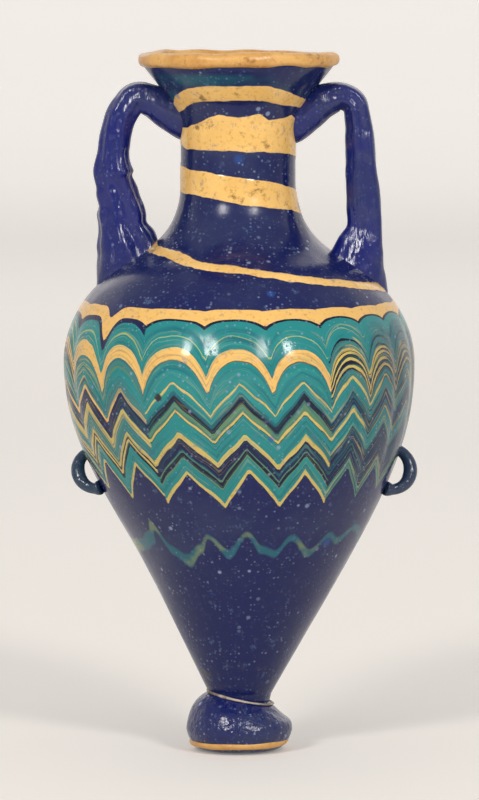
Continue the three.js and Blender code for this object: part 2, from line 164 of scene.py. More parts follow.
# Neck thread, wound down from the mouth to the shoulder: angle run, upper and lower edge.
NECK_THREAD = [
    (-110, 127.4, 127.0), (-85, 128.3, 127.4), (-60, 131, 128.3), (-40, 132.8, 130),
    (-20, 133.3, 130.3), (20, 133.3, 130.3), (40, 132, 129.3), (60, 130.8, 129),
    (120, 129.4, 127.4), (200, 127.2, 124.4), (275, 124.8, 121.3), (300, 125, 120.6),
    (320, 126, 120.5), (340, 127.6, 120.5), (360, 127, 120.3), (380, 127.7, 120.2),
    (390, 126.4, 120), (420, 127.2, 119.8), (480, 124, 117.4), (560, 120, 114.5),
    (635, 117.3, 112), (680, 116.3, 111.4), (720, 115.2, 110), (760, 114, 109),
    (800, 112.4, 107.7), (860, 109.4, 105.2), (930, 105.4, 102.8), (995, 102, 100.3),
    (1020, 101.2, 100), (1040, 100.8, 99.2), (1060, 99, 97.6), (1080, 98.2, 97),
    (1120, 95.8, 94.4), (1160, 94, 92.3), (1230, 92.2, 90.8), (1290, 90.6, 89.8),
]

# Wavy thread of the lower body: angle, height of its middle, thickness.
WAVY_THREAD = [
    (-180, 42, 1.4), (-160, 45, 1.2), (-140, 41.8, 1.4), (-120, 45, 1.3), (-100, 41.5, 1.6),
    (-75, 41.8, 2.0), (-60, 42.5, 2.2), (-50, 44.2, 2.0), (-46, 47, 1.2), (-40, 42, 1.8),
    (-31, 40, 2.4), (-22, 42.8, 1.3), (-17.5, 45.4, 0.9), (-8, 41.7, 1.4), (1, 46, 0.8),
    (8, 42.6, 1.0), (15, 41.7, 1.2), (22, 45, 0.9), (34, 41.5, 0.9), (43, 45, 0.8),
    (50, 43.6, 0.8), (60, 46, 0.8), (80, 42, 1.0), (100, 45.4, 1.0), (120, 41.8, 1.2),
    (140, 45, 1.2), (160, 41.6, 1.3), (180, 42, 1.4),
]

# Handle stations: distance out from the axis, height, width in the handle's plane, and depth.
LEFT_STATIONS = [
    (8.2, 127, 10.5, 8), (10.9, 127.2, 10, 8), (14.1, 128.2, 7.8, 7.8), (17.2, 129.9, 6.6, 7.4),
    (20.4, 130.6, 6, 7), (22.8, 127.8, 6, 7), (24.1, 124.4, 6.1, 7), (24.7, 120.8, 6.1, 7.2),
    (25, 116, 7.1, 8), (24.3, 112.6, 7.7, 7.8), (23.4, 109, 9, 7.5), (23, 105, 9.8, 7.6),
    (22.1, 101, 12, 8.6), (21.5, 96.5, 13.8, 9.4), (21, 91.5, 15, 9),
]
RIGHT_STATIONS = [
    (8.2, 126.2, 10.5, 8), (10.6, 126.6, 10.2, 8), (13.9, 128, 8, 7.8), (17, 130, 6.9, 7.4),
    (20.4, 131, 5.4, 7), (23.2, 129.4, 5, 7), (24, 125.6, 5.2, 7), (24.4, 121.5, 5.8, 7.2),
    (24.6, 117, 6.1, 7.4), (24.9, 112.8, 6.5, 7.4), (25.2, 108.5, 6.8, 7.6), (25.2, 104.6, 7, 7.8),
    (24.4, 101, 9.6, 8.6), (23.4, 97, 12, 9.2), (22.8, 92, 14, 9),
]

# Ring lugs: height of the middle, reach out from the wall, half height, swing to the front.
LUG_ROD = 1.25
LEFT_LUG = dict(height=56.4, reach=3.2, rise=3.5, forward=5.0)
RIGHT_LUG = dict(height=56.6, reach=3.8, rise=4.0, forward=4.0)


def bezier(a, b, c, d, steps):
    """Points of a cubic curve, without its first."""
    t = np.linspace(0, 1, steps + 1)[1:, None]
    a, b, c, d = (np.array(p, float) for p in (a, b, c, d))
    return (1 - t) ** 3 * a + 3 * (1 - t) ** 2 * t * b + 3 * (1 - t) * t ** 2 * c + t ** 3 * d


def body_outline():
    """The outside of the vessel from its tip to under the rim, as (radius, height)."""
    slope = (CONE_TOP[0] - WAIST[0]) / (CONE_TOP[1] - WAIST[1])
    fall = np.array([-math.cos(math.radians(SHOULDER_SLOPE)), math.sin(math.radians(SHOULDER_SLOPE))])
    before = np.array(SHOULDER) - 8 * fall
    after = np.array(SHOULDER) + 5 * fall
    ease = 12
    spans = [
        (WAIST, (12.2, 22.6), (18.4, 34.4), CONE_TOP, 60),
        (CONE_TOP, (CONE_TOP[0] + slope * ease, CONE_TOP[1] + ease), (BELLY[0], BELLY[1] - ease), BELLY, 70),
        (BELLY, (BELLY[0], BELLY[1] + 9), before, SHOULDER, 50),
        (SHOULDER, after, (NECK_FOOT[0], NECK_FOOT[1] - 9.4), NECK_FOOT, 32),
        (NECK_FOOT, NECK_FOOT, NECK_TOP, NECK_TOP, 16),
        (NECK_TOP, (11.5, 129.2), (16.6, 133.2), MOUTH, 26),
    ]
    return np.vstack([[WAIST]] + [bezier(*span) for span in spans])


OUTLINE = body_outline()


def radius_at(z):
    return np.interp(z, OUTLINE[:, 1], OUTLINE[:, 0])


def polar(points):
    """Angle in degrees and radius of (N, 3) points."""
    return np.degrees(np.arctan2(points[:, 0], -points[:, 1])), np.hypot(points[:, 0], points[:, 1])


def around(angle, radius, z):
    angle = np.radians(angle)
    return np.column_stack([radius * np.sin(angle), -radius * np.cos(angle), z])


def smooth(low, high, value):
    t = np.clip((value - low) / (high - low), 0, 1)
    return t * t * (3 - 2 * t)


def lumps(points, size, seed):
    """Smooth hand-made unevenness from -1 to 1, from a few crossing waves."""
    rng = np.random.default_rng(seed)
    total = np.zeros(len(points))
    for _ in range(6):
        way = rng.normal(size=3)
        way /= np.linalg.norm(way)
        total += np.sin(points @ way * (2 * math.pi / (size * rng.uniform(0.7, 1.5))) + rng.uniform(0, 6.3))
    return total / 4


def points_of(obj):
    """The mesh's points in millimetres."""
    flat = np.empty(len(obj.data.vertices) * 3)
    obj.data.vertices.foreach_get("co", flat)
    return flat.reshape(-1, 3) / MM


def move_points(obj, points):
    obj.data.vertices.foreach_set("co", (points * MM).ravel())
    obj.data.update()


def add_attribute(obj, name, values):
    layer = obj.data.attributes.new(name, "FLOAT", "POINT")
    layer.data.foreach_set("value", values.astype(np.float32))


def turned(name, outline, steps):
    """A closed form spun about the vertical axis from (radius, height) points."""
    outline = [tuple(map(float, p)) for p in outline]
    ring = outline[0] == outline[-1]
    if ring:
        outline = outline[:-1]
    count = len(outline)
    edges = [(i, i + 1) for i in range(count - 1)] + ([(count - 1, 0)] if ring else [])
    mesh = bpy.data.meshes.new(name)
    mesh.from_pydata([(0, -r * MM, z * MM) for r, z in outline], edges, [])
    obj = bpy.data.objects.new(name, mesh)
    bpy.context.collection.objects.link(obj)
    bpy.ops.object.select_all(action="DESELECT")
    bpy.context.view_layer.objects.active = obj
    obj.select_set(True)
    bpy.ops.object.mode_set(mode="EDIT")
    bpy.ops.mesh.select_all(action="SELECT")
    bpy.ops.mesh.spin(steps=steps, angle=2 * math.pi, center=(0, 0, 0), axis=(0, 0, 1))
    bpy.ops.mesh.select_all(action="SELECT")
    bpy.ops.mesh.remove_doubles(threshold=1e-6)
    bpy.ops.mesh.normals_make_consistent(inside=False)
    bpy.ops.object.mode_set(mode="OBJECT")
    bpy.ops.object.shade_smooth()
    return obj


def finish(obj, nodes, material):
    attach(obj, "root")
    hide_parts(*nodes)
    obj.data.materials.clear()
    obj.data.materials.append(material)


# Combed pattern.

def stroke_field(angle, z):
    """Phase between the two nearest strokes (0 and 1 on a stroke), and their pull, blended."""
    lean = (COMB_MID_Z - np.clip(z, COMB_FOOT_Z, COMB_TOP_Z)) / (COMB_TOP_Z - COMB_FOOT_Z)
    strokes = STROKES + [(STROKES[0][0] + 360, STROKES[0][1], STROKES[0][2])]
    turn = (angle - STROKES[0][0]) % 360 + STROKES[0][0]
    phase = np.zeros_like(turn)
    pull = np.ones_like(turn)
    for (a, a_lean, a_pull), (b, b_lean, b_pull) in zip(strokes, strokes[1:]):
        start = a + a_lean * lean
        end = b + b_lean * lean
        for shift in (-360, 0, 360):
            here = (turn >= start + shift) & (turn < end + shift)
            share = (turn - start - shift) / (end - start)
            phase = np.where(here, share, phase)
            pull = np.where(here, a_pull + (b_pull - a_pull) * share, pull)
    return phase, pull


def from_stroke(angle, z, which):
    """How far round a place lies from one stroke, in degrees."""
    lean = (COMB_MID_Z - np.clip(z, COMB_FOOT_Z, COMB_TOP_Z)) / (COMB_TOP_Z - COMB_FOOT_Z)
    start, start_lean, _ = STROKES[which]
    return (angle - start - start_lean * lean + 180) % 360 - 180


def comb_height(angle, z):
    """The height on a crest of the thread that the comb dragged to this place."""
    phase, pull = stroke_field(angle, z)
    side = np.abs(1 - 2 * phase)
    arch = 0.6 * side ** 2 + 0.4 * side ** 5
    chevron = side + 0.15 * np.sin(2 * math.pi * side) / (2 * math.pi)
    deep = DEEP_DRAG * np.exp(-((from_stroke(angle, z, DEEP_STROKE) / 3.2) ** 2))
    heights, drags = zip(*DRAG)
    low, high = z.copy(), z + 16
    for _ in range(22):
        middle = (low + high) / 2
        mix = smooth(75.5, 80, middle)
        shape = arch * mix + chevron * (1 - mix)
        drag = np.interp(middle, heights, drags) * shape * pull
        drag = drag + deep * smooth(84, 87.5, middle) * (1 - smooth(89.5, 91.5, middle))
        below = middle - drag < z
        low = np.where(below, middle, low)
        high = np.where(below, high, middle)
    return (low + high) / 2


def wound_distance(angle, z):
    """How far a place lies inside the neck thread's nearest edge, in millimetres."""
    runs, tops, feet = (np.array(column, float) for column in zip(*NECK_THREAD))
    nearest = np.full(len(z), -20.0)
    for turn in range(-1, 4):
        run = angle + 360 * turn
        inside = np.minimum(np.interp(run, runs, tops) - z, z - np.interp(run, runs, feet))
        inside = np.where((run < runs[0]) | (run > runs[-1]), -20.0, inside)
        nearest = np.maximum(nearest, inside)
    return nearest


def wavy_distance(angle, z):
    """How far a place lies inside the wavy thread's edge: it runs in even curves."""
    angles, middles, widths = (np.array(column, float) for column in zip(*WAVY_THREAD))
    i = np.clip(np.searchsorted(angles, angle) - 1, 0, len(angles) - 2)
    share = smooth(0, 1, (angle - angles[i]) / (angles[i + 1] - angles[i]))
    middle = middles[i] + (middles[i + 1] - middles[i]) * share
    return 0.2 + (widths[i] + (widths[i + 1] - widths[i]) * share) / 2 - np.abs(z - middle)


def make_body(material):
    inner = []
    for (r0, z0), (r1, z1) in zip(OUTLINE[::9], OUTLINE[9::9]):
        run = math.hypot(r1 - r0, z1 - z0)
        wall = np.interp(z0, [SHOULDER[1], NECK_FOOT[1], NECK_TOP[1], MOUTH[1]], [WALL, 4.3, 4.3, LIP_WALL])
        inner.append((r0 - (z1 - z0) / run * wall, z0 + (r1 - r0) / run * wall))
    inner = [p for p in inner if p[1] > CAVITY_FLOOR_Z + 2 and p[1] < MOUTH[1] - 1]
    lip = MOUTH[0] - LIP_WALL
    outline = [(0, TIP_Z), (WAIST[0] - 0.6, TIP_Z), (WAIST[0] - 0.2, WAIST[1] - 1)]
    outline += [tuple(p) for p in OUTLINE]
    outline += [(lip + 1, MOUTH[1] + 1.2), (lip, MOUTH[1] + 0.6)]
    outline += inner[::-1] + [(inner[0][0] * 0.6, CAVITY_FLOOR_Z + 1), (0, CAVITY_FLOOR_Z)]
    body = turned("glass_body", outline, BODY_STEPS)

    points = points_of(body)
    angle, radius = polar(points)
    z = points[:, 2]
    depth = radius_at(z) - radius
    comb = comb_height(angle, z)
    phase, pull = stroke_field(angle, z)
    on_stroke = np.exp(-((np.minimum(phase, 1 - phase) / 0.16) ** 2))
    add_attribute(body, "comb", comb)
    add_attribute(body, "stroke", on_stroke)
    add_attribute(body, "neck_thread", wound_distance(angle, z))
    add_attribute(body, "wavy_thread", wavy_distance(angle, z))
    right = np.minimum(from_stroke(angle, z, 6), -from_stroke(angle, z, 12))
    left = np.minimum(-from_stroke(angle, z, 3), from_stroke(angle, z, 16))
    add_attribute(body, "right_side", right)
    add_attribute(body, "left_side", left)
    add_attribute(body, "depth", depth)

    zone = smooth(52, 62, z) * (1 - smooth(82, 90, z))
    skin = 1 - smooth(0.5, 2.5, depth)
    threads = 0.12 * smooth(-0.2, 0.4, wound_distance(angle, z)) * smooth(88, 92, z)
    change = -FURROW_DEPTH * on_stroke * zone + 0.16 * lumps(points, 26, 3) + threads
    radius = radius + change * skin * smooth(0.5, 4, radius)
    moved = around(angle, radius, z)
    moved[:, 0] += DRIFT * np.exp(-(((z - DRIFT_Z) / DRIFT_SPAN) ** 2))
    move_points(body, moved)
    finish(body, [
        "body_wall", "neck_thread", "shoulder_thread", "turquoise_band_upper",
        "yellow_festoon_thread", "turquoise_band_middle", "yellow_chevron_thread",
        "turquoise_band_lower", "turquoise_band_bottom", "yellow_edge_thread", "wavy_thread",
    ], material)
    return body


def make_rim(material):
    middle = (RIM_LOW_Z + RIM_HIGH_Z) / 2
    half = (RIM_HIGH_Z - RIM_LOW_Z) / 2
    inner = MOUTH[0] - LIP_WALL + 0.3
    centre = (inner + RIM_RADIUS) / 2
    section = []
    for k in range(25):
        turn = 2 * math.pi * k / 24
        bulge = abs(math.cos(turn)) ** 0.8 * math.copysign(1, math.cos(turn))
        rise = abs(math.sin(turn)) ** 0.75 * math.copysign(1, math.sin(turn))
        section.append((centre + (RIM_RADIUS - centre) * bulge, middle + half * rise))
    section[-1] = section[0]
    rim = turned("rim_coil", section, RIM_STEPS)
    points = points_of(rim)
    angle, radius = polar(points)
    wave = 0.16 * np.sin(np.radians(angle * 2 + 40)) + 0.1 * np.sin(np.radians(angle * 5 + 10))
    radius = radius + 0.2 * lumps(points, 9, 5)
    z = points[:, 2] + wave - 0.2 + 0.2 * lumps(points, 6, 8)
    move_points(rim, around(angle, radius, np.clip(z, RIM_LOW_Z - 0.4, 140.05)))
    finish(rim, ["rim_thread"], material)


def spline(stations, share):
    """Smooth values through equally spaced stations, for shares from 0 to 1."""
    stations = np.array(stations, float)
    padded = np.vstack([2 * stations[0] - stations[1], stations, 2 * stations[-1] - stations[-2]])
    at = np.clip(share, 0, 1) * (len(stations) - 1)
    i = np.minimum(at.astype(int), len(stations) - 2)
    t = (at - i)[:, None]
    a, b, c, d = (padded[i + k] for k in range(4))
    bend = (2 * a - 5 * b + 4 * c - d) * t ** 2 + (3 * b - a - 3 * c + d) * t ** 3
    return 0.5 * (2 * b + (c - a) * t + bend)


def rod_outline(rows):
    """A straight rod one high and one across its radius, closed at both ends."""
    return [(0, 0)] + [(1, k / rows) for k in range(rows + 1)] + [(0, 1)]


def face_outwards(obj):
    bpy.ops.object.select_all(action="DESELECT")
    obj.select_set(True)
    bpy.context.view_layer.objects.active = obj
    bpy.ops.object.mode_set(mode="EDIT")
    bpy.ops.mesh.select_all(action="SELECT")
    bpy.ops.mesh.normals_make_consistent(inside=False)
    bpy.ops.object.mode_set(mode="OBJECT")


def make_handle(name, stations, side, node, material):
    """A strap of glass drawn from under the mouth to the shoulder, with ridges along it."""
    handle = turned(name, rod_outline(HANDLE_ROWS), HANDLE_STEPS)
    points = points_of(handle)
    turn, radius = polar(points)
    share = points[:, 2]
    centre = spline(stations, share)
    step = 0.004
    ahead, behind = spline(stations, share + step), spline(stations, share - step)
    run = ahead[:, :2] - behind[:, :2]
    run /= np.linalg.norm(run, axis=1)[:, None]
    out_x, out_z = -run[:, 1], run[:, 0]
    turn = np.radians(turn)
    middle = smooth(0.18, 0.3, share) * (1 - smooth(0.8, 0.95, share))
    if side < 0:
        ridges = 0.06 * np.cos(3 * turn + 5 * share) + 0.05 * np.cos(7 * turn - 9 * share)
        ridges += 0.035 * np.sin(share * 70) * np.cos(turn) ** 2 * (share > 0.5)
        knot = 0.13 * np.exp(-(((share - 0.575) / 0.025) ** 2)) * (np.cos(turn) > -0.3)
    else:
        ridges = 0.08 * np.cos(3 * turn + 1.0) + 0.05 * np.cos(6 * turn + 3 * share)
        knot = 0
    # The front is drawn into two strands with a furrow between them.
    furrow = np.exp(-(((turn + math.pi / 2 - 0.2 + 0.4 * np.sin(4 * share)) / 0.3) ** 2))
    length = smooth(0.5, 0.58, share) if side < 0 else smooth(0.2, 0.35, share)
    furrow = furrow * length * (1 - smooth(0.88, 0.97, share)) * (0.2 if side < 0 else 0.1)
    reach = radius * (1 + ridges * middle + knot - furrow)
    along = centre[:, 2] / 2 * reach * np.cos(turn)
    flat = np.sin(turn)
    across = centre[:, 3] / 2 * reach * flat
    x = centre[:, 0] - along * out_x
    z = centre[:, 1] - along * out_z
    moved = np.column_stack([side * x, across, z])
    bump = lumps(moved, 7, 11 + side) * 0.16 + lumps(moved, 3, 21 + side) * 0.05
    moved[:, 1] += bump
    moved[:, 0] += side * bump * 0.7
    # The sunk ends stay within the wall of the vessel.
    angle, radius = polar(moved)
    moved = around(angle, np.maximum(radius, radius_at(moved[:, 2]) - 2.4), moved[:, 2])
    move_points(handle, moved)
    face_outwards(handle)
    finish(handle, [node], material)


def make_lug(name, side, node, material, height, reach, rise, forward):
    """A bent rod that leaves the wall, bows out and comes back lower and nearer the front."""
    lug = turned(name, rod_outline(LUG_ROWS), LUG_STEPS)
    points = points_of(lug)
    turn, radius = polar(points)
    share = points[:, 2]
    surface = float(radius_at(height))

    def path(s):
        bend = math.pi * (s * 1.16 - 0.04)
        sink = np.where(s < 0.06, (0.06 - s) * 40, 0)
        out = surface + reach * np.sin(bend) - sink - 0.5
        drift = DRIFT * np.exp(-(((height + rise * np.cos(bend) - DRIFT_Z) / DRIFT_SPAN) ** 2))
        return np.column_stack([side * out + drift, -forward * s, height + rise * np.cos(bend)])

    centre = path(share)
    run = path(share + 0.01) - path(share - 0.01)
    run /= np.linalg.norm(run, axis=1)[:, None]
    across = np.cross(run, [0, 1, 0])
    across /= np.linalg.norm(across, axis=1)[:, None]
    up = np.cross(run, across)
    turn = np.radians(turn)
    rod = LUG_ROD * radius * (1 + 0.25 * np.exp(-(((share - 0.97) / 0.05) ** 2)) - 0.12 * np.sin(share * 9))
    moved = centre + across * (rod * np.cos(turn))[:, None] + up * (rod * np.sin(turn))[:, None]
    move_points(lug, moved)
    face_outwards(lug)
    finish(lug, [node], material)


def make_foot(glass, thread, pale):
    edge = bezier((REST_RADIUS, 0), (REST_RADIUS + 1.2, 0.1), (FOOT_RADIUS - 0.7, FOOT_BULGE_Z * 0.3),
                  (FOOT_RADIUS, FOOT_BULGE_Z), 16)
    dome = bezier((FOOT_RADIUS, FOOT_BULGE_Z), (FOOT_RADIUS, 7.4), (WAIST[0] + 2.0, 8.7),
                  (WAIST[0], FOOT_TOP_Z - 0.8), 26)
    outline = [(0, 0), (REST_RADIUS, 0)] + [tuple(p) for p in edge] + [tuple(p) for p in dome]
    outline += [(WAIST[0] - 0.8, FOOT_TOP_Z - 0.4), (0, FOOT_TOP_Z - 0.4)]
    foot = turned("foot_pad", outline, FOOT_STEPS)
    points = points_of(foot)
    angle, radius = polar(points)
    z = points[:, 2]
    radius = radius + 0.14 * lumps(points, 9, 31) * smooth(0.3, 2.5, z) * smooth(1, 4, radius)
    shift = DRIFT * np.exp(-(((z - DRIFT_Z) / DRIFT_SPAN) ** 2))
    moved = around(angle, radius, z)
    moved[:, 2] -= math.tan(math.radians(SEAM_TILT)) * moved[:, 0] * smooth(4.5, 9.5, z)
    moved[:, 0] += shift
    move_points(foot, moved)
    finish(foot, ["foot"], glass)

    section = [
        (COIL_RADIUS + 0.85 * math.cos(t), COIL_Z + 0.85 * math.sin(t))
        for t in np.linspace(0, 2 * math.pi, 17)
    ]
    section[-1] = section[0]
    ring = turned("foot_coil", section, FOOT_STEPS)
    points = points_of(ring)
    angle, radius = polar(points)
    side = np.sin(np.radians(angle))
    thick = 1 + 0.22 * side + 0.1 * lumps(points, 8, 41)
    z = COIL_Z + (points[:, 2] - COIL_Z) * thick + 0.3 * side
    moved = around(angle, radius + 0.08 * lumps(points, 6, 43), z)
    moved[:, 0] += 0.12
    move_points(ring, moved)
    finish(ring, ["foot_thread"], thread)

    section = [
        (WAIST[0] + 0.28 + 0.36 * math.cos(t), 0.25 * math.sin(t))
        for t in np.linspace(0, 2 * math.pi, 13)
    ]
    section[-1] = section[0]
    seam = turned("seam_coil", section, SEAM_STEPS)
    points = points_of(seam)
    angle, radius = polar(points)
    thick = 1 - 0.35 * np.sin(np.radians(angle)) + 0.15 * lumps(points, 4, 51)
    moved = around(angle, radius, points[:, 2] * thick)
    tilt = math.radians(SEAM_TILT)
    moved[:, 2] += SEAM_Z - 0.2 - np.tan(tilt) * moved[:, 0]
    moved[:, 0] += DRIFT * math.exp(-(((SEAM_Z - DRIFT_Z) / DRIFT_SPAN) ** 2))
    move_points(seam, moved)
    finish(seam, ["seam_thread"], pale)


# Materials.

class Nodes:
    """Short calls for one material's nodes."""

    def __init__(self, name):
        self.material = bpy.data.materials.new(name)
        self.material.use_nodes = True
        self.tree = self.material.node_tree
        self.shader = self.tree.nodes["Principled BSDF"]

    def put(self, socket, value):
        if hasattr(value, "is_output"):
            self.tree.links.new(value, socket)
        else:
            socket.default_value = value

    def place(self):
        return self.tree.nodes.new("ShaderNodeTexCoord").outputs["Object"]

    def split(self, vector):
        node = self.tree.nodes.new("ShaderNodeSeparateXYZ")
        self.put(node.inputs[0], vector)
        return node.outputs

    def direction(self, at):
        """The way out from the axis to a place, one long: sine and cosine of its turn."""
        x, y, _ = self.split(at)
        node = self.tree.nodes.new("ShaderNodeVectorMath")
        node.operation = "NORMALIZE"
        self.put(node.inputs[0], self.vector(x, y, 0.0))
        return self.split(node.outputs[0])

    def away(self, at, point):
        node = self.tree.nodes.new("ShaderNodeVectorMath")
        node.operation = "DISTANCE"
        self.put(node.inputs[0], at)
        node.inputs[1].default_value = point
        return node.outputs["Value"]

    def red(self, colour):
        node = self.tree.nodes.new("ShaderNodeSeparateColor")
        self.put(node.inputs[0], colour)
        return node.outputs[0]

    def attribute(self, name):
        node = self.tree.nodes.new("ShaderNodeAttribute")
        node.attribute_name = name
        return node.outputs["Fac"]

    def vector(self, x, y, z):
        node = self.tree.nodes.new("ShaderNodeCombineXYZ")
        for socket, value in zip(node.inputs, (x, y, z)):
            self.put(socket, value)
        return node.outputs[0]

    def noise(self, at, scale, detail=3, roughness=0.55):
        node = self.tree.nodes.new("ShaderNodeTexNoise")
        self.put(node.inputs["Vector"], at)
        node.inputs["Scale"].default_value = scale
        node.inputs["Detail"].default_value = detail
        node.inputs["Roughness"].default_value = roughness
        return node.outputs["Fac"]

    def cells(self, at, scale):
        node = self.tree.nodes.new("ShaderNodeTexVoronoi")
        self.put(node.inputs["Vector"], at)
        node.inputs["Scale"].default_value = scale
        return node.outputs["Distance"], node.outputs["Color"]

    def math(self, operation, a, b=0.0, c=0.0):
        node = self.tree.nodes.new("ShaderNodeMath")
        node.operation = operation
        for socket, value in zip(node.inputs, (a, b, c)):
            self.put(socket, value)
        return node.outputs[0]

    def between(self, value, low, high, out_low=0.0, out_high=1.0):
        node = self.tree.nodes.new("ShaderNodeMapRange")
        node.interpolation_type = "SMOOTHSTEP"
        for name, given in (("Value", value), ("From Min", low), ("From Max", high),
                            ("To Min", out_low), ("To Max", out_high)):
            self.put(node.inputs[name], given)
        return node.outputs[0]

    def mix(self, share, a, b):
        node = self.tree.nodes.new("ShaderNodeMix")
        node.data_type = "RGBA"
        self.put(node.inputs["Factor"], share)
        for name, value in (("A", a), ("B", b)):
            socket = [s for s in node.inputs if s.name == name and s.type == "RGBA"][0]
            self.put(socket, value if hasattr(value, "is_output") else (*value, 1))
        return [s for s in node.outputs if s.type == "RGBA"][0]

    def ramp(self, share, stops):
        node = self.tree.nodes.new("ShaderNodeValToRGB")
        node.color_ramp.interpolation = "CONSTANT"
        elements = node.color_ramp.elements
        elements[0].position, elements[0].color = stops[0][0], (*stops[0][1], 1)
        elements.remove(elements[1])
        for position, colour in stops[1:]:
            elements.new(position).color = (*colour, 1)
        self.put(node.inputs["Fac"], share)
        return node.outputs["Color"]

    def bump(self, height, distance, strength=1.0):
        node = self.tree.nodes.new("ShaderNodeBump")
        node.inputs["Distance"].default_value = distance
        node.inputs["Strength"].default_value = strength
        self.put(node.inputs["Height"], height)
        return node.outputs["Normal"]

    def finish(self, colour, roughness, normal, gloss=0.5):
        self.put(self.shader.inputs["Base Color"], colour)
        self.put(self.shader.inputs["Roughness"], roughness)
        self.put(self.shader.inputs["Normal"], normal)
        self.shader.inputs["Specular IOR Level"].default_value = gloss
        return self.material


PALE_SPECK = (0.26, 0.33, 0.50)
WEATHER = (0.022, 0.032, 0.10)
STAIN = (0.12, 0.05, 0.014)


def specks(n, at, scale, size, share):
    """Scattered spots: a share of the cells of a pattern has one, smaller and fainter or more."""
    distance, colour = n.cells(at, scale)
    fade = n.math("MULTIPLY_ADD", n.red(colour), -1.0 / share, 1.0)
    edge = n.math("MULTIPLY", n.math("MAXIMUM", fade, 0.0), size)
    return n.math("MULTIPLY", n.between(distance, edge, n.math("MULTIPLY", edge, 0.4)),
                 n.between(fade, 0.0, 0.7, 0.25, 1.0))


def blue_ground(n, at, blue):
    """Deep blue with cloudy weathering and a fine lighter mottle."""
    cloud = n.noise(at, 45, 4, 0.6)
    fine = n.noise(at, 1000, 4, 0.75)
    colour = n.mix(n.between(cloud, 0.42, 0.70, 0, 0.75), blue, WEATHER)
    return n.mix(n.between(fine, 0.56, 0.72, 0, 0.5), colour, (0.045, 0.075, 0.19))


def weathered(n, at, colour, amount=1.0):
    """Adds the pale specks, and gives the colour and the specks."""
    gather = n.between(n.noise(at, 110, 3), 0.36, 0.62, 0.2, 1.0)
    small = specks(n, at, 1300, 0.48, 0.6)
    large = specks(n, at, 520, 0.36, 0.3)
    bright = specks(n, at, 170, 0.26, 0.22)
    colour = n.mix(n.math("MULTIPLY", bright, 0.55 * amount), colour, (0.02, 0.085, 0.34))
    blotch = n.between(n.noise(at, 520, 4, 0.7), 0.60, 0.70)
    spots = n.math("MAXIMUM", n.math("MULTIPLY", small, 0.45 * amount),
                   n.math("MULTIPLY", large, 0.8 * amount))
    pale = n.between(n.red(colour), 0.2, 0.5, 1.0, 0.25)
    spots = n.math("MULTIPLY", spots, n.math("MULTIPLY", gather, pale))
    colour = n.mix(n.math("MULTIPLY", blotch, 0.45 * amount), colour, (0.09, 0.15, 0.30))
    return n.mix(spots, colour, PALE_SPECK), spots


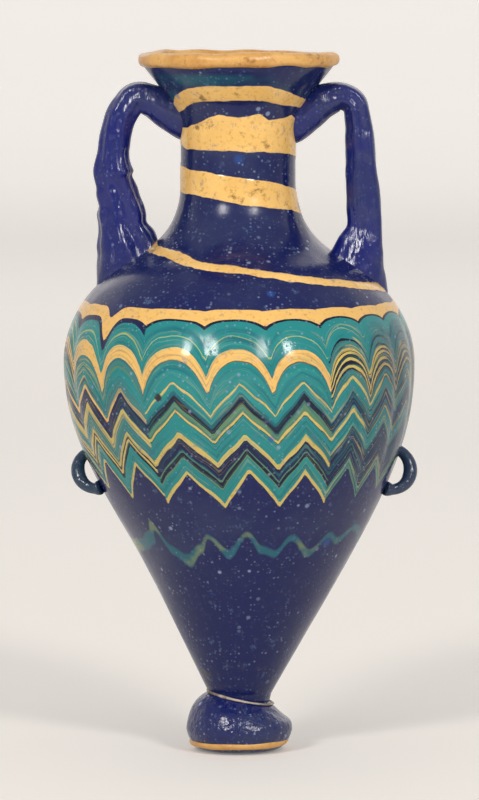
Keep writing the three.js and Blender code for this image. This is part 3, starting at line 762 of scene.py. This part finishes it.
def body_material():
    n = Nodes("threaded_blue_glass")
    at = n.place()
    comb = n.attribute("comb")
    neck = n.attribute("neck_thread")
    wavy = n.attribute("wavy_thread")
    stroke = n.attribute("stroke")
    depth = n.attribute("depth")
    x, y, _ = n.direction(at)

    def round_noise(turn_scale, height, height_scale, offset, detail=3):
        across = n.vector(n.math("MULTIPLY", x, turn_scale), n.math("MULTIPLY", y, turn_scale),
                          n.math("MULTIPLY_ADD", height, height_scale, offset))
        return n.noise(across, 1.0, detail)

    # Threads wander in height as they go round, and are drawn out into strands by the comb.
    slow = n.math("SUBTRACT", round_noise(2.2, comb, 0.10, 0.0), 0.5)
    quick = n.math("SUBTRACT", round_noise(11, comb, 0.5, 30.0, 4), 0.5)
    wander = n.math("MULTIPLY_ADD", slow, 2.8, n.math("MULTIPLY", quick, 0.7))
    inside = n.between(comb, 88.8, 84.0)
    comb_at = n.math("MULTIPLY_ADD", wander, n.math("MULTIPLY_ADD", inside, 0.7, 0.3), comb)
    share = n.math("DIVIDE", n.math("SUBTRACT", comb_at, COMB_LOW), COMB_SPAN)

    def laid(threads):
        return n.ramp(share, [((height - COMB_LOW) / COMB_SPAN, colour) for height, colour in threads])

    right = n.between(n.attribute("right_side"), -0.35, 0.35)
    left = n.between(n.attribute("left_side"), -0.35, 0.35)
    threads = n.mix(left, n.mix(right, laid(FRONT_THREADS), laid(RIGHT_THREADS)), laid(LEFT_THREADS))

    # Fine strands that follow the combing, more of them on the right and the far left.
    in_comb = n.math("MULTIPLY", n.between(comb_at, 59.4, 60.2), n.between(comb_at, 87.6, 86.8))
    busy = n.math("MAXIMUM", n.between(x, 0.35, 0.75), n.between(x, -0.72, -0.9))
    busy = n.math("MULTIPLY_ADD", busy, 0.75, 0.25)

    def strands(offset, width):
        wave = n.math("ABSOLUTE", n.math("SUBTRACT", round_noise(1.2, comb_at, 0.75, offset, 2), 0.5))
        patch = n.between(round_noise(3, comb, 0.25, offset + 50), 0.42, 0.58)
        return n.math("MULTIPLY", n.math("MULTIPLY", n.between(wave, width, width * 0.3), patch), in_comb)

    threads = n.mix(n.math("MULTIPLY", strands(7.0, 0.026), n.math("MULTIPLY", busy, 0.8)), threads, GOLD)
    threads = n.mix(n.math("MULTIPLY", strands(90.0, 0.045), busy), threads, DARK)
    shade = round_noise(1.8, comb_at, 1.1, 11.0)
    light = n.math("MULTIPLY", n.between(shade, 0.54, 0.72, 0, 0.4), in_comb)
    threads = n.mix(light, threads, MILKY)
    dim = n.math("MULTIPLY", n.between(shade, 0.47, 0.34, 0, 0.6), in_comb)
    threads = n.mix(dim, threads, DEEP_SEA)
    # Painted shade and grazing sheen: the pattern turns greyer and darker towards the right flank (+X).
    painted_flank_sheen = n.math("MULTIPLY", n.between(x, 0.6, 0.95, 0, 0.5), in_comb)
    threads = n.mix(painted_flank_sheen, threads, FLANK_SHEEN_GREY)

    # Brown grains in the yellow.
    is_yellow = n.between(n.red(threads), 0.35, 0.6)
    grain = n.between(n.noise(at, 1100, 3, 0.7), 0.52, 0.72, 0, 0.6)
    threads = n.mix(n.math("MULTIPLY", is_yellow, grain), threads, OCHRE)

    # Blue ground above and below the pattern.
    outside = n.math("MAXIMUM", n.between(comb_at, 58.0, 57.95), n.between(comb_at, 90.38, 90.42))
    blank = n.math("LESS_THAN", n.red(threads), 0.0047)
    outside = n.math("MAXIMUM", outside, n.math("MULTIPLY", blank, n.between(comb_at, 60.4, 60.0)))
    colour = n.mix(outside, threads, blue_ground(n, at, BLUE))

    # Neck thread and wavy thread, with uneven edges.
    ragged = n.math("MULTIPLY", n.math("SUBTRACT", n.noise(at, 260, 3), 0.5), 0.9)
    neck_in = n.between(n.math("ADD", neck, ragged), -0.06, 0.08)
    neck_in = n.math("MULTIPLY", neck_in, n.between(depth, 2.0, 1.6))
    cream = n.noise(at, 120, 4, 0.6)
    neck_yellow = n.mix(n.between(cream, 0.35, 0.7), YELLOW, CREAM)
    grain = n.between(n.noise(at, 1100, 3, 0.7), 0.52, 0.72, 0, 0.55)
    neck_yellow = n.mix(grain, neck_yellow, (0.45, 0.22, 0.06))
    dirt = n.between(n.noise(at, 230, 5, 0.75), 0.56, 0.70, 0, 0.8)
    neck_yellow = n.mix(dirt, neck_yellow, STAIN)
    colour = n.mix(neck_in, colour, neck_yellow)
    haze = n.math("MULTIPLY", n.between(neck, -2.2, -0.3), n.between(neck, 0.1, -0.1))
    hazy = n.between(n.noise(at, 90, 2), 0.48, 0.66, 0, 0.5)
    above = n.between(comb, 129.5, 130.5)
    colour = n.mix(n.math("MULTIPLY", n.math("MULTIPLY", haze, hazy), above), colour, HAZE)
    band = n.math("MULTIPLY", n.between(comb, 132.6, 134.0), n.between(comb, 136.0, 134.8))
    band = n.math("MULTIPLY", band, n.between(n.noise(at, 70, 3), 0.42, 0.62, 0, 0.75))
    colour = n.mix(band, colour, (0.012, 0.11, 0.15))
    wavy_edge = n.math("MULTIPLY", n.math("SUBTRACT", n.noise(at, 160, 3), 0.5), 1.4)
    wavy_in = n.between(n.math("ADD", wavy, wavy_edge), -0.4, 0.4)
    wavy_in = n.math("MULTIPLY", wavy_in, n.between(depth, 2.0, 1.6))
    wavy_colour = n.mix(n.between(n.noise(at, 150, 2), 0.5, 0.62), (0.015, 0.13, 0.17), (0.15, 0.22, 0.12))
    colour = n.mix(n.math("MULTIPLY", wavy_in, 0.85), colour, wavy_colour)

    # The cavity keeps the rough grey film that the core left.
    core = n.mix(n.between(n.noise(at, 300, 4, 0.7), 0.35, 0.7), (0.10, 0.09, 0.10), (0.26, 0.23, 0.20))
    colour = n.mix(n.between(depth, 2.2, 2.9), colour, core)

    # Brown weathering above the foot.
    low = n.math("MULTIPLY", n.between(comb, 20, 15), n.between(n.noise(at, 240, 4, 0.7), 0.54, 0.64, 0, 0.6))
    colour = n.mix(low, colour, EARTH)

    # The burst bubble: a near-black spot, with its hollow pressed in by the bump.
    pit_x, pit_y, pit_z = around(PIT[0], radius_at(PIT[1]), np.array([PIT[1]]))[0] * MM
    pit = n.between(n.away(at, (pit_x, pit_y, pit_z)), 0.00095, 0.0006)
    colour = n.mix(pit, colour, BUBBLE_BLACK)

    colour, spots = weathered(n, at, colour)
    rough = n.between(n.noise(at, 130, 4), 0.3, 0.75, 0.10, 0.30)
    rough = n.math("ADD", rough, n.math("MULTIPLY", spots, 0.3))
    relief = n.math("MULTIPLY_ADD", n.noise(at, 210, 4, 0.55), 0.5, n.math("MULTIPLY", spots, -0.5))
    relief = n.math("MULTIPLY_ADD", n.between(neck, -0.1, 0.25), 0.35, relief)
    relief = n.math("MULTIPLY_ADD", stroke, n.math("MULTIPLY", in_comb, -0.3), relief)
    relief = n.math("MULTIPLY_ADD", pit, -2.0, relief)
    return n.finish(colour, rough, n.bump(relief, 0.00016, 0.7), gloss=0.36)


def blue_material(name, blue, gloss, speckled, draw):
    """Plain blue glass. Drawn glass has its unevenness stretched along the height."""
    n = Nodes(name)
    at = n.place()
    colour, spots = weathered(n, at, blue_ground(n, at, blue), speckled)
    rough = n.between(n.noise(at, 150, 4), 0.3, 0.7, 0.10, 0.26)
    x, y, z = n.split(at)
    drawn = n.vector(n.math("MULTIPLY", x, 420), n.math("MULTIPLY", y, 420),
                     n.math("MULTIPLY", z, 420 / draw))
    relief = n.math("MULTIPLY_ADD", n.noise(drawn, 1.0, 4, 0.5), 1.6, n.math("MULTIPLY", spots, -0.4))
    return n.finish(colour, rough, n.bump(relief, 0.0004, 0.8), gloss)


def yellow_material(name, stained):
    n = Nodes(name)
    at = n.place()
    tone = n.noise(at, 120, 4, 0.6)
    colour = n.mix(n.between(tone, 0.3, 0.7), (0.56, 0.28, 0.07), (0.76, 0.44, 0.14))
    grain = n.between(n.noise(at, 1000, 3, 0.7), 0.50, 0.70, 0, 0.5)
    colour = n.mix(grain, colour, (0.40, 0.19, 0.05))
    dirt = n.between(n.noise(at, 210, 5, 0.75), 0.60 - stained, 0.74 - stained, 0, 0.85)
    colour = n.mix(dirt, colour, STAIN)
    rough = n.between(tone, 0.3, 0.7, 0.25, 0.5)
    return n.finish(colour, rough, n.bump(n.noise(at, 300, 4, 0.6), 0.00025, 0.8), gloss=0.45)


def pale_material():
    # A pale tan colour for the seam coil, lighter and darker by a fine noise.
    n = Nodes("pale_seam_glass")
    at = n.place()
    tone = n.noise(at, 400, 4, 0.65)
    colour = n.mix(n.between(tone, 0.35, 0.65), (0.16, 0.13, 0.11), (0.52, 0.46, 0.37))
    return n.finish(colour, 0.6, n.bump(tone, 0.00015, 0.8))


def make_surroundings():
    """A pale floor that runs up into a backdrop behind the flask."""
    floor = turned("floor", [(0, -0.3), (2600, -0.3), (3000, 60), (3200, 400), (3300, 2600)], 96)
    n = Nodes("pale_paper")
    n.shader.inputs["Base Color"].default_value = (0.80, 0.77, 0.735, 1)
    n.shader.inputs["Roughness"].default_value = 0.9
    n.shader.inputs["Specular IOR Level"].default_value = 0.1
    # The paper glows a little with distance where it is seen, and throws none of that on the flask.
    seen = n.tree.nodes.new("ShaderNodeLightPath").outputs
    rays = n.math("MAXIMUM", n.math("MAXIMUM", seen["Is Camera Ray"], seen["Is Glossy Ray"]),
                 seen["Is Transmission Ray"])
    at = n.place()
    behind = n.between(n.split(at)[1], -0.5, 0.5, 0.35, 1.0)
    glow = n.math("MULTIPLY", n.between(n.away(at, (0, 0, 0)), 0.5, 3.3, 0.24, 0.52), behind)
    n.shader.inputs["Emission Color"].default_value = (1.0, 0.965, 0.935, 1)
    n.put(n.shader.inputs["Emission Strength"], n.math("MULTIPLY", glow, rays))
    floor.data.materials.append(n.material)
    floor.data.flip_normals()

    world = bpy.data.worlds.new("studio")
    bpy.context.scene.world = world
    world.use_nodes = True
    back = world.node_tree.nodes["Background"]
    back.inputs["Color"].default_value = (0.93, 0.92, 0.92, 1)
    back.inputs["Strength"].default_value = 0.55


def soft_box(name, place, size, power):
    light = bpy.data.lights.new(name, "AREA")
    light.shape = "RECTANGLE"
    light.size, light.size_y = size
    light.energy = power
    light.color = (1.0, 0.965, 0.92)
    lamp = bpy.data.objects.new(name, light)
    bpy.context.collection.objects.link(lamp)
    lamp.location = place
    lamp.rotation_euler = (Vector(LAMP_AIM) - Vector(place)).to_track_quat("-Z", "Y").to_euler()


def make_camera():
    camera = bpy.data.cameras.new("view")
    camera.lens = CAMERA_LENS
    camera.sensor_width = 36
    camera.clip_start, camera.clip_end = 0.05, 20
    view = bpy.data.objects.new("view", camera)
    bpy.context.collection.objects.link(view)
    view.location = CAMERA_PLACE
    view.rotation_euler = (Vector(CAMERA_AIM) - view.location).to_track_quat("-Z", "Y").to_euler()
    bpy.context.scene.camera = view


make_camera()
make_surroundings()
soft_box("left_soft_box", (-0.565, -0.94, 0.60), (0.24, 0.34), 6.5)
soft_box("right_soft_box", (0.565, -0.94, 0.60), (0.22, 0.32), 6)
soft_box("back_fill", (0, 1.3, 0.9), (1.6, 1.0), 2.5)

drawn_blue = blue_material("drawn_blue_glass", (0.005, 0.011, 0.145), 0.5, 0.5, 5)
foot_blue = blue_material("foot_blue_glass", (0.0045, 0.0095, 0.10), 0.5, 1.25, 1)
make_body(body_material())
make_rim(yellow_material("rim_yellow_glass", 0.05))
make_handle("handle_left", LEFT_STATIONS, -1, "left_handle", drawn_blue)
make_handle("handle_right", RIGHT_STATIONS, 1, "right_handle", drawn_blue)
lug_glass = blue_material("grey_blue_glass", (0.022, 0.05, 0.095), 0.5, 0.4, 1)
make_lug("lug_left", -1, "left_ring_lug", lug_glass, **LEFT_LUG)
make_lug("lug_right", 1, "right_ring_lug", lug_glass, **RIGHT_LUG)
make_foot(foot_blue, yellow_material("foot_yellow_glass", 0.0), pale_material())

bpy.context.scene.view_settings.view_transform = "Standard"
